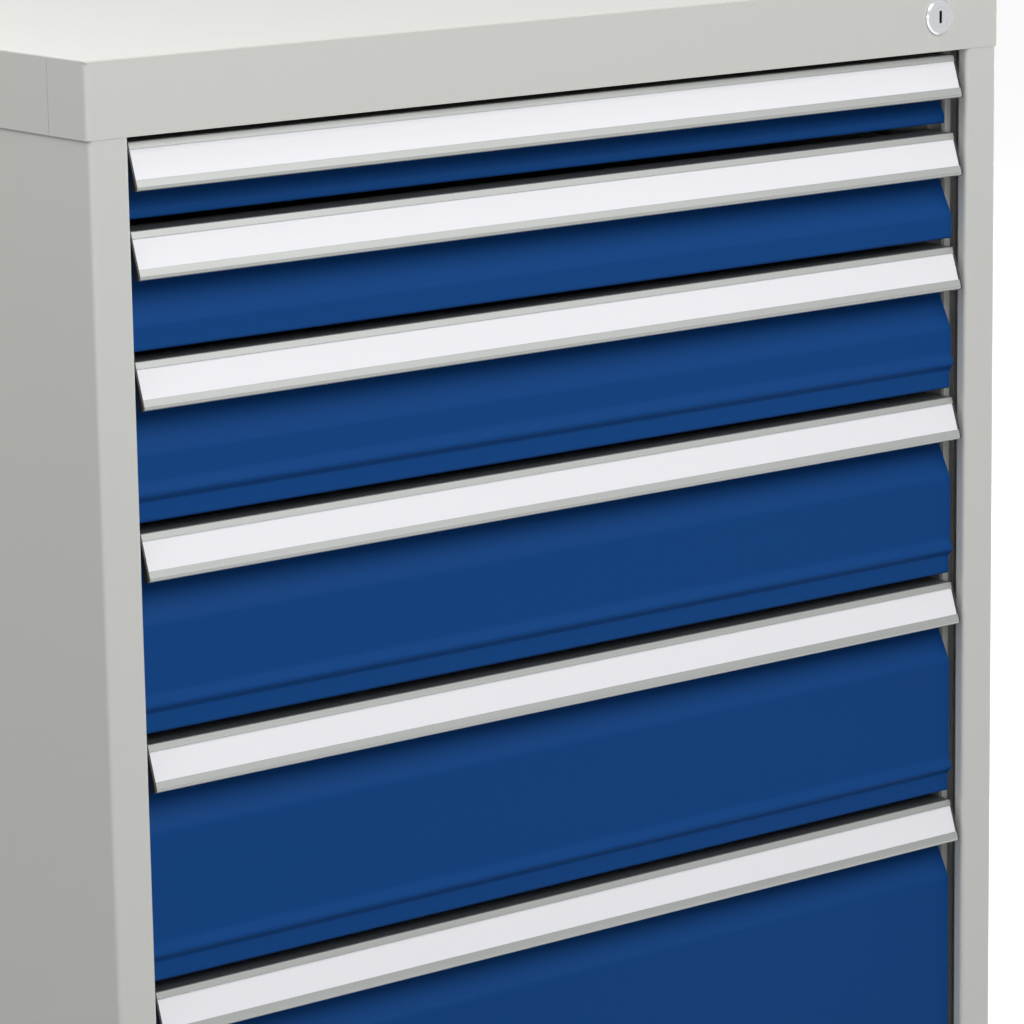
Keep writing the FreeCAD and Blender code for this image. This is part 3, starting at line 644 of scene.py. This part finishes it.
class HeadTree:
    """Geometry Nodes tree that sets a domed head, closed underneath, on every point of a mesh.

    Attributes:
        AROUND: Faces round a head.
        RINGS: Rows of faces from a head's crown to the middle of its foot.
        TOLERANCE: Distance below which a head's corners are joined.
    """

    AROUND = 24
    RINGS = 9
    TOLERANCE = 0.01 * MM

    def __init__(self) -> None:
        """Builds the tree."""
        self.tree = bpy.data.node_groups.new("fastener_heads", "GeometryNodeTree")
        inputs = {
            "Points": "NodeSocketGeometry",
            "Radius": "NodeSocketFloat",
            "Height": "NodeSocketFloat",
            "Socket Radius": "NodeSocketFloat",
            "Cross Width": "NodeSocketFloat",
            "Recess": "NodeSocketFloat",
            "Axis": "NodeSocketVector",
            "Finish": "NodeSocketMaterial",
        }
        face = self.tree.interface
        self.sockets = {
            name: face.new_socket(name=name, in_out="INPUT", socket_type=kind).identifier
            for name, kind in inputs.items()
        }
        face.new_socket(name="Heads", in_out="OUTPUT", socket_type="NodeSocketGeometry")
        graph = Graph(self.tree)
        taken = graph.node("NodeGroupInput").outputs
        head = self.head(graph, taken)
        turn = graph.node("FunctionNodeAlignEulerToVector", axis="Z")
        graph.feed(turn.inputs["Vector"], taken["Axis"])
        spread = graph.node("GeometryNodeInstanceOnPoints")
        graph.feed(spread.inputs["Points"], taken["Points"])
        graph.feed(spread.inputs["Instance"], head)
        graph.feed(spread.inputs["Rotation"], turn.outputs[0])
        real = graph.node("GeometryNodeRealizeInstances")
        graph.feed(real.inputs[0], spread.outputs[0])
        dress = graph.node("GeometryNodeSetMaterial")
        graph.feed(dress.inputs["Geometry"], real.outputs[0])
        graph.feed(dress.inputs["Material"], taken["Finish"])
        graph.feed(graph.node("NodeGroupOutput").inputs[0], dress.outputs[0])

    def head(self, graph: Graph, taken: Sockets) -> bpy.types.NodeSocket:
        """Bends a grid into one head: rows run out from the crown, and the last closes the foot.

        Args:
            graph: The tree's graph.
            taken: The tree's inputs.

        Returns:
            The socket of the head's mesh, which stands on the origin and points along Z.
        """
        grid = graph.node("GeometryNodeMeshGrid")
        grid.inputs["Vertices X"].default_value = self.AROUND + 1
        grid.inputs["Vertices Y"].default_value = self.RINGS + 1
        grid.inputs["Size X"].default_value = 1.0
        grid.inputs["Size Y"].default_value = 1.0
        place = graph.node("ShaderNodeSeparateXYZ")
        graph.feed(place.inputs[0], graph.node("GeometryNodeInputPosition").outputs[0])
        angle = graph.maths("MULTIPLY", graph.maths("ADD", place.outputs["X"], 0.5), 2 * math.pi)
        share = graph.maths("ADD", place.outputs["Y"], 0.5)
        row = graph.maths("MULTIPLY", share, float(self.RINGS))
        # Every row but the last, which folds in to the middle of the foot.
        above = graph.maths("LESS_THAN", row, self.RINGS - 0.5)
        tilt = graph.maths("MULTIPLY", row, math.pi / 2 / (self.RINGS - 1))
        radius = graph.maths("MULTIPLY", graph.maths("SINE", tilt), taken["Radius"])
        height = graph.maths("MULTIPLY", graph.maths("COSINE", tilt), taken["Height"])
        out = graph.maths("MULTIPLY", radius, above)
        up = graph.maths("MULTIPLY", height, above)
        across = graph.maths("MULTIPLY", out, graph.maths("COSINE", angle))
        along = graph.maths("MULTIPLY", out, graph.maths("SINE", angle))
        from_arms = (graph.maths("ABSOLUTE", across), graph.maths("ABSOLUTE", along))
        narrow = graph.maths("MINIMUM", *from_arms)
        in_cross = graph.maths("LESS_THAN", narrow, taken["Cross Width"])
        in_socket = graph.maths("LESS_THAN", out, taken["Socket Radius"])
        in_recess = graph.maths("MULTIPLY", in_cross, in_socket)
        sunk = graph.maths("MULTIPLY", in_recess, taken["Recess"])
        level = graph.maths("SUBTRACT", up, graph.maths("MULTIPLY", sunk, above))
        joined = graph.node("ShaderNodeCombineXYZ")
        for target, value in zip(joined.inputs, (across, along, level)):
            graph.feed(target, value)
        bend = graph.node("GeometryNodeSetPosition")
        graph.feed(bend.inputs["Geometry"], grid.outputs["Mesh"])
        graph.feed(bend.inputs["Position"], joined.outputs[0])
        closed = graph.node("GeometryNodeMergeByDistance")
        graph.feed(closed.inputs["Geometry"], bend.outputs[0])
        closed.inputs["Distance"].default_value = self.TOLERANCE
        turned = graph.node("GeometryNodeFlipFaces")
        graph.feed(turned.inputs["Mesh"], closed.outputs[0])
        smooth = graph.node("GeometryNodeSetShadeSmooth")
        graph.feed(smooth.inputs["Geometry"], turned.outputs[0])
        return smooth.outputs[0]


@dataclass(frozen=True)
class Fastener:
    """A kind of fastener head, and its sizes."""

    radius: float
    height: float
    style: HeadStyle
    socket_radius: float = 0.0
    cross_width: float = 0.0
    recess: float = 0.0

    def place(
        self,
        tree: HeadTree,
        name: str,
        points: list[Point],
        axis: Point,
        finish: bpy.types.Material,
    ) -> bpy.types.Object:
        """Sets a head on each point and leaves them as one plain mesh.

        Args:
            tree: The tree that makes the heads.
            name: The piece's name.
            points: Where the heads' feet stand.
            axis: The way that the heads point.
            finish: Their material.

        Returns:
            The piece, at the origin.
        """
        seeds = bpy.data.meshes.new(f"{name}_points")
        seeds.from_pydata(points, [], [])
        piece = bpy.data.objects.new(name, seeds)
        bpy.context.scene.collection.objects.link(piece)
        grow = piece.modifiers.new("heads", "NODES")
        grow.node_group = tree.tree
        # A width past the head's own makes the cross a round socket.
        width = self.cross_width if self.style is HeadStyle.CROSS else 2 * self.radius
        values = {
            "Radius": self.radius,
            "Height": self.height,
            "Socket Radius": self.socket_radius,
            "Cross Width": width,
            "Recess": self.recess if self.style is not HeadStyle.PLAIN else 0.0,
            "Axis": axis,
            "Finish": finish,
        }
        for label, value in values.items():
            grow[tree.sockets[label]] = value
        keep_result(piece)
        LOG.info("%s: %d heads, %d faces", name, len(points), len(piece.data.polygons))
        return piece


# --- sub-assemblies --------------------------------------------------------------------
@dataclass
class Workshop:
    """What every sub-assembly takes its finishes and fastener heads from."""

    finishes: dict[str, bpy.types.Material]
    heads: HeadTree

    def dress(self) -> None:
        """Gives each node of the model the finish of its slot."""
        for part in frame["record"]["subparts"]:
            node = frame["nodes"][part["node"]]
            finish = self.finishes[part["material_slot"]]
            if not node.material_slots:
                node.data.materials.append(finish)
            for slot in node.material_slots:
                slot.material = finish
            LOG.info("%s: %s", part["node"], finish.name)

    def fasten(
        self, kind: Fastener, name: str, points: list[Point], axis: Point, slot: str, body: str
    ) -> bpy.types.Object:
        """Makes a row of heads that rides on a body.

        Args:
            kind: The fastener.
            name: The piece's name.
            points: Where the heads' feet stand.
            axis: The way that the heads point.
            slot: The material slot that they take their finish from.
            body: The body that carries them.

        Returns:
            The piece.
        """
        piece = kind.place(self.heads, name, points, axis, self.finishes[slot])
        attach(piece, body)
        return piece


def merged_copy(node: bpy.types.Object, name: str) -> bpy.types.Object:
    """Copies a node of the model, with its loose triangles joined.

    Args:
        node: The node's object.
        name: The copy's name.

    Returns:
        The copy.
    """
    shape = bmesh.new()
    shape.from_mesh(node.data)
    shape.transform(node.matrix_world)
    bmesh.ops.remove_doubles(shape, verts=shape.verts, dist=SAME_PLACE)
    mesh = bpy.data.meshes.new(name)
    shape.to_mesh(mesh)
    shape.free()
    for material in node.data.materials:
        mesh.materials.append(material)
    piece = bpy.data.objects.new(name, mesh)
    bpy.context.scene.collection.objects.link(piece)
    return piece


def keep_result(piece: bpy.types.Object) -> None:
    """Turns a piece into the plain mesh that its modifiers make of it.

    Args:
        piece: The piece, which loses its modifiers.
    """
    bpy.context.view_layer.update()
    seen = piece.evaluated_get(bpy.context.evaluated_depsgraph_get())
    piece.data = bpy.data.meshes.new_from_object(seen)
    piece.data.name = piece.name
    piece.modifiers.clear()


def tray_wall(number: int) -> float:
    """Measures where a tray's side walls are, below its hems.

    Args:
        number: The drawer's number.

    Returns:
        The distance of the walls' outer faces from the cabinet's middle plane.
    """
    name = f"drawer_{number}_tray"
    tray = frame["nodes"][name]
    middle = sum(corner.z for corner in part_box(name)) / 2
    places = [tray.matrix_world @ vertex.co for vertex in tray.data.vertices]
    return max(place.x for place in places if place.z < middle)


def spaced(first: float, last: float, count: int) -> list[float]:
    """Gives evenly spaced places from the first to the last."""
    return [first + (last - first) * i / (count - 1) for i in range(count)]


def slot_places(start: float, end: float) -> list[float]:
    """Gives the places of the slots along a wall, a pitch apart and in its middle.

    Args:
        start: Where the wall starts.
        end: Where the wall ends.

    Returns:
        The middle of each slot.
    """
    count = int((end - start - 2 * SLOT_END_MARGIN) / SLOT_PITCH)
    middle = (start + end) / 2
    return [middle + SLOT_PITCH * (i - count / 2) for i in range(count + 1)]


@dataclass
class RearRivets:
    """Blind rivets that hold the back panel to the rear flanges."""

    workshop: Workshop
    per_side: int = 4
    head: Fastener = Fastener(
        radius=4.75 * MM,
        height=1.2 * MM,
        style=HeadStyle.SOCKET,
        socket_radius=1.5 * MM,
        recess=0.7 * MM,
    )

    def build(self) -> None:
        """Sets a domed head with a hollow middle in place of each plain one."""
        low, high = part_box("back_rivets")
        radius = self.head.radius
        seat = high.y - self.head.height
        points = [
            (x, seat, z)
            for x in (low.x + radius, high.x - radius)
            for z in spaced(low.z + radius, high.z - radius, self.per_side)
        ]
        name = "back_rivet_heads"
        piece = self.workshop.fasten(self.head, name, points, (0, 1, 0), "zinc_steel", "case")
        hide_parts("back_rivets")


@dataclass
class SlottedTray:
    """A drawer's tray, with the rows of slots in its walls that dividers hook into.

    Attributes:
        row_pitch: Height from one row of slots to the next.
        width: A slot's width.
        height: A slot's height.
        rim_margin: Least distance from a slot to the wall's rim and to its foot.
        cut_depth: How far the cut goes to each side of the wall's middle.
        end_steps: Faces on a slot's round end.
    """

    workshop: Workshop
    number: int
    row_pitch: float = 50 * MM
    width: float = 3 * MM
    height: float = 14 * MM
    rim_margin: float = 12 * MM
    cut_depth: float = 1.3 * MM
    end_steps: int = 3

    def build(self) -> None:
        """Cuts the slots into a copy of the tray and shows the copy in its place."""
        node = f"drawer_{self.number}_tray"
        tray = merged_copy(frame["nodes"][node], f"{node}_slotted")
        cutter = self.cutter(node)
        cut = tray.modifiers.new("slots", "BOOLEAN")
        cut.operation = "DIFFERENCE"
        cut.solver = "EXACT"
        cut.object = cutter
        keep_result(tray)
        bpy.data.objects.remove(cutter)
        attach(tray, f"drawer_{self.number}")
        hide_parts(node)
        LOG.info("%s: %d faces", tray.name, len(tray.data.polygons))

    def cutter(self, node: str) -> bpy.types.Object:
        """Makes one mesh of all the slots' shapes.

        Args:
            node: The tray's node, which gives the walls' places.

        Returns:
            The cutter.
        """
        low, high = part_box(node)
        wall = tray_wall(self.number) - TRAY_SHEET / 2
        rows = 1 + int((high.z - low.z - 2 * self.rim_margin - self.height) / self.row_pitch)
        top = high.z - self.rim_margin - self.height / 2
        levels = [top - self.row_pitch * row for row in range(rows)]
        along = slot_places(low.y, high.y)
        across = slot_places(-wall, wall)
        shape = bmesh.new()
        for level in levels:
            for y in along:
                for x in (-wall, wall):
                    place = Vector((x, y, level))
                    self.add_slot(shape, place, Vector((0, 1, 0)), Vector((1, 0, 0)))
            for x in across:
                for y in (low.y + TRAY_SHEET / 2, high.y - TRAY_SHEET / 2):
                    place = Vector((x, y, level))
                    self.add_slot(shape, place, Vector((1, 0, 0)), Vector((0, -1, 0)))
        mesh = bpy.data.meshes.new("slot_cutter")
        shape.to_mesh(mesh)
        shape.free()
        cutter = bpy.data.objects.new("slot_cutter", mesh)
        bpy.context.scene.collection.objects.link(cutter)
        return cutter

    def add_slot(
        self, shape: bmesh.types.BMesh, middle: Vector, side: Vector, through: Vector
    ) -> None:
        """Adds one slot's shape: upright, with round ends.

        Args:
            shape: The mesh that takes it.
            middle: The slot's middle, in the middle of the wall.
            side: The way along the wall.
            through: The way through the wall.
        """
        radius = self.width / 2
        reach = self.height / 2 - radius
        outline = []
        for sign in (1, -1):
            for step in range(self.end_steps + 1):
                angle = math.pi * step / self.end_steps
                up = sign * (reach + radius * math.sin(angle))
                aside = sign * radius * math.cos(angle)
                outline.append(middle + side * aside + Vector((0, 0, up)))
        near = [shape.verts.new(point - through * self.cut_depth) for point in outline]
        far = [shape.verts.new(point + through * self.cut_depth) for point in outline]
        shape.faces.new(near[::-1])
        shape.faces.new(far)
        for i in range(len(outline)):
            j = (i + 1) % len(outline)
            shape.faces.new((near[i], near[j], far[j], far[i]))


@dataclass
class DrawerFasteners:
    """Screws that hold a drawer's handle, and rivets that hold its rails.

    Attributes:
        screws: Screws in a handle.
        screw_inset: Distance of the outer screws from the handle's ends.
        screw_drop: Distance of the screws below the handle's upper edge.
        leg_setback: Distance of the handle's fixing leg behind the posts' front faces.
        slots_per_rivet: Slots from one rivet to the next.
        screw: The screws' heads.
        rivet: The rivets' heads.
    """

    workshop: Workshop
    number: int
    screws: int = 5
    screw_inset: float = 40 * MM
    screw_drop: float = 8 * MM
    leg_setback: float = 21.2 * MM
    slots_per_rivet: int = 4
    screw: Fastener = Fastener(
        radius=3.6 * MM,
        height=1.3 * MM,
        style=HeadStyle.CROSS,
        socket_radius=2.2 * MM,
        cross_width=0.55 * MM,
        recess=0.8 * MM,
    )
    rivet: Fastener = Fastener(radius=4.2 * MM, height=0.9 * MM, style=HeadStyle.PLAIN)

    def build(self) -> None:
        """Sets the screws' and the rivets' heads."""
        self.set_screws()
        self.set_rivets()

    def set_screws(self) -> None:
        """Sets a row of cross-recessed heads on the handle's fixing leg, inside the finger gap."""
        low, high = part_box(f"drawer_{self.number}_handle")
        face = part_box("side_panel_right")[0].y + self.leg_setback
        across = spaced(low.x + self.screw_inset, high.x - self.screw_inset, self.screws)
        points = [(x, face, high.z - self.screw_drop) for x in across]
        name, body = f"drawer_{self.number}_handle_screws", f"drawer_{self.number}"
        self.workshop.fasten(self.screw, name, points, (0, -1, 0), "zinc_steel", body)

    def set_rivets(self) -> None:
        """Sets rivet heads inside the tray, along the middle of each rail and between slots."""
        low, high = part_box(f"drawer_{self.number}_tray")
        rail_low, rail_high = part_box(f"drawer_{self.number}_rails")
        wall = tray_wall(self.number) - TRAY_SHEET
        slots = slot_places(low.y, high.y)[:-1]
        spare = (len(slots) - 1) % self.slots_per_rivet // 2
        along = [y + SLOT_PITCH / 2 for y in slots[spare :: self.slots_per_rivet]]
        level = (rail_low.z + rail_high.z) / 2
        body = f"drawer_{self.number}"
        for side, sign in (("left", -1), ("right", 1)):
            points = [(sign * wall, y, level) for y in along]
            name = f"drawer_{self.number}_rail_rivets_{side}"
            self.workshop.fasten(self.rivet, name, points, (-sign, 0, 0), "zinc_steel", body)


@dataclass
class AxleHeads:
    """Riveted ends of the axles on the two bars of a carriage.

    Attributes:
        bar_middle: Distance of a bar's middle from the cabinet's middle plane.
        bar_sheet: Thickness of a bar.
        axle_gap: Distance past which two of the rollers' corners are on different rollers.
        head: The axles' heads.
    """

    workshop: Workshop
    number: int
    bar_middle: float = 316.75 * MM
    bar_sheet: float = 2.5 * MM
    axle_gap: float = 20 * MM
    head: Fastener = Fastener(radius=5.2 * MM, height=0.6 * MM, style=HeadStyle.PLAIN)

    def build(self) -> None:
        """Sets a low head behind each axle, on the bar's other face."""
        low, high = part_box(f"carriage_{self.number}_bars")
        level = (low.z + high.z) / 2
        body = f"carriage_{self.number}"
        for place, outside, face in (("inner", False, 1), ("outer", True, -1)):
            ys = self.axles(outside)
            for side, sign in (("left", -1), ("right", 1)):
                x = sign * (self.bar_middle + face * self.bar_sheet / 2)
                points = [(x, y, level) for y in ys]
                name = f"carriage_{self.number}_axle_heads_{place}_{side}"
                axis = (sign * face, 0, 0)
                self.workshop.fasten(self.head, name, points, axis, "zinc_steel", body)

    def axles(self, outside: bool) -> list[float]:
        """Reads the places of the axles along the bars from the rollers' outlines.

        Args:
            outside: Whether to read the rollers on the bars' outer faces or on their inner ones.

        Returns:
            The axles' places, from the front to the back.
        """
        rollers = frame["nodes"][f"carriage_{self.number}_rollers"]
        places = [rollers.matrix_world @ vertex.co for vertex in rollers.data.vertices]
        ys = sorted(place.y for place in places if (abs(place.x) > self.bar_middle) == outside)
        groups: list[list[float]] = [[ys[0]]]
        for y in ys[1:]:
            if y - groups[-1][-1] > self.axle_gap:
                groups.append([])
            groups[-1].append(y)
        return [(group[0] + group[-1]) / 2 for group in groups]


# --- studio ----------------------------------------------------------------------------
@dataclass
class Softbox:
    """A square lamp that points at a place on the cabinet."""

    name: str
    place: Point
    target: Point
    side: float
    power: float

    def build(self) -> None:
        """Adds the lamp."""
        light = bpy.data.lights.new(self.name, "AREA")
        light.shape = "SQUARE"
        light.size = self.side
        light.energy = self.power
        lamp = bpy.data.objects.new(self.name, light)
        aim = Vector(self.target) - Vector(self.place)
        turn = aim.to_track_quat("-Z", "Y").to_matrix().to_4x4()
        lamp.matrix_world = Matrix.Translation(self.place) @ turn
        bpy.context.scene.collection.objects.link(lamp)
        LOG.info("%s: %g W", self.name, self.power)


FRONT: Point = (0.0, -0.3, 0.5)
BACK: Point = (0.0, 0.2, 0.45)

LAMPS = (
    Softbox("key", place=(-0.15, -2.2, 2.2), target=FRONT, side=1.7, power=34.0),
    Softbox("fill", place=(1.1, -2.0, 1.6), target=FRONT, side=1.0, power=6.0),
    Softbox("corner", place=(-1.8, -3.0, 0.8), target=FRONT, side=0.6, power=13.0),
    Softbox("side", place=(-1.4, -0.3, 2.0), target=(-0.35, -0.1, 0.7), side=1.0, power=14.6),
    Softbox("rear", place=(1.3, 4.4, 0.75), target=BACK, side=1.4, power=80.0),
    Softbox("rear_high", place=(0.5, 2.3, 2.9), target=(0.0, 0.3, 0.5), side=1.0, power=22.0),
    Softbox("right", place=(3.6, -0.3, 0.75), target=(0.3, 0.0, 0.45), side=1.4, power=42.0),
)


@dataclass
class Studio:
    """Plain pale floor, white surroundings, soft lamps and the camera.

    Attributes:
        floor_half: Distance from the cabinet's middle to the floor's edges.
        floor_shown: The floor's colour where it is seen.
        floor_bounce: Its colour where it only lights the cabinet.
        floor_fill: How far it glows where it is seen, so that it keeps only a soft shadow.
        floor_roughness: Its roughness.
        floor_gloss: Its shader's specular level.
        sky: Strength of the surroundings as a light.
        camera_place: Where the camera stands.
        camera_turn: How far it turns to its right from straight ahead, in degrees.
        camera_dip: How far it looks down, in degrees.
        camera_roll: How far it rolls, in degrees.
        camera_lens: Its focal length, in millimetres.
        camera_sensor: Its sensor's width, in millimetres.
        camera_reach: Distance past which it sees nothing.
    """

    floor_half: float = 30.0
    floor_shown: Colour = screen(250, 250, 250)
    floor_bounce: Colour = (0.20, 0.20, 0.20)
    floor_fill: float = 0.66
    floor_roughness: float = 0.9
    floor_gloss: float = 0.2
    sky: float = 0.27
    camera_place: Point = (-1.695864, -2.466432, 1.081583)
    camera_turn: float = 37.988195
    camera_dip: float = 11.872175
    camera_roll: float = -0.898209
    camera_lens: float = 157.234
    camera_sensor: float = 36.0
    camera_reach: float = 100.0

    def build(self) -> None:
        """Sets the surroundings, the floor and the lamps."""
        self.set_world()
        self.lay_floor()
        for lamp in LAMPS:
            lamp.build()
        bpy.context.scene.view_settings.view_transform = "Standard"

    def seen_plainly(self, graph: Graph) -> bpy.types.NodeSocket:
        """Tells where the camera sees a surface, straight, mirrored or through glass.

        Args:
            graph: The tree that asks.

        Returns:
            A socket that is 1 there and 0 elsewhere.
        """
        path = graph.node("ShaderNodeLightPath").outputs
        first = graph.maths("ADD", path["Is Camera Ray"], path["Is Glossy Ray"])
        total = graph.maths("ADD", first, path["Is Transmission Ray"])
        return graph.maths("MINIMUM", total, 1.0)

    def set_world(self) -> None:
        """Sets white surroundings, dimmer as a light than as a background."""
        world = bpy.data.worlds.new("surroundings")
        bpy.context.scene.world = world
        world.use_nodes = True
        graph = Graph(world.node_tree)
        shown = self.seen_plainly(graph)
        strength = graph.maths("ADD", self.sky, graph.maths("MULTIPLY", shown, 1.0 - self.sky))
        background = next(n for n in graph.tree.nodes if n.type == "BACKGROUND")
        graph.feed(background.inputs["Color"], WHITE)
        graph.feed(background.inputs["Strength"], strength)

    def lay_floor(self) -> None:
        """Lays a wide pale floor that keeps the cabinet's shadow and bounces little light."""
        half = self.floor_half
        mesh = bpy.data.meshes.new("floor")
        outline = [(-half, -half, 0), (half, -half, 0), (half, half, 0), (-half, half, 0)]
        mesh.from_pydata(outline, [], [(0, 1, 2, 3)])
        floor = bpy.data.objects.new("floor", mesh)
        bpy.context.scene.collection.objects.link(floor)
        material = bpy.data.materials.new("floor")
        material.use_nodes = True
        graph = Graph(material.node_tree)
        shader = next(n for n in graph.tree.nodes if n.type == "BSDF_PRINCIPLED")
        shown = self.seen_plainly(graph)
        looks = {
            "Base Color": graph.mixed(shown, self.floor_bounce, self.floor_shown),
            "Emission Color": WHITE,
            "Emission Strength": graph.maths("MULTIPLY", shown, self.floor_fill),
            "Roughness": self.floor_roughness,
            "Specular IOR Level": self.floor_gloss,
        }
        graph.feed_named(shader.inputs, looks)
        mesh.materials.append(material)

    def set_camera(self) -> None:
        """Stands the camera to the left of the cabinet's front, turned, dipped and rolled."""
        turn = Matrix.Rotation(math.radians(self.camera_turn), 3, "Z")
        dip = Matrix.Rotation(math.radians(self.camera_dip), 3, "X")
        roll = Matrix.Rotation(math.radians(self.camera_roll), 3, "Y")
        right, ahead, up = roll @ dip @ turn
        data = bpy.data.cameras.new("camera")
        data.lens = self.camera_lens
        data.sensor_width = self.camera_sensor
        data.clip_end = self.camera_reach
        camera = bpy.data.objects.new("camera", data)
        bpy.context.scene.collection.objects.link(camera)
        axes = Matrix((right, up, -ahead)).transposed().to_4x4()
        camera.matrix_world = Matrix.Translation(self.camera_place) @ axes
        bpy.context.scene.camera = camera


def main() -> None:
    """Builds the studio and every sub-assembly, in order."""
    logging.basicConfig(level=logging.INFO, format="%(name)s: %(message)s")
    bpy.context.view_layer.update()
    studio = Studio()
    studio.set_camera()
    effects = Effects()
    finishes = {slot: finish.material(slot, effects) for slot, finish in FINISHES.items()}
    workshop = Workshop(finishes, HeadTree())
    workshop.dress()
    RearRivets(workshop).build()
    for number in DRAWERS:
        SlottedTray(workshop, number).build()
        DrawerFasteners(workshop, number).build()
        AxleHeads(workshop, number).build()
    studio.build()


if __name__ == "__main__":
    main()
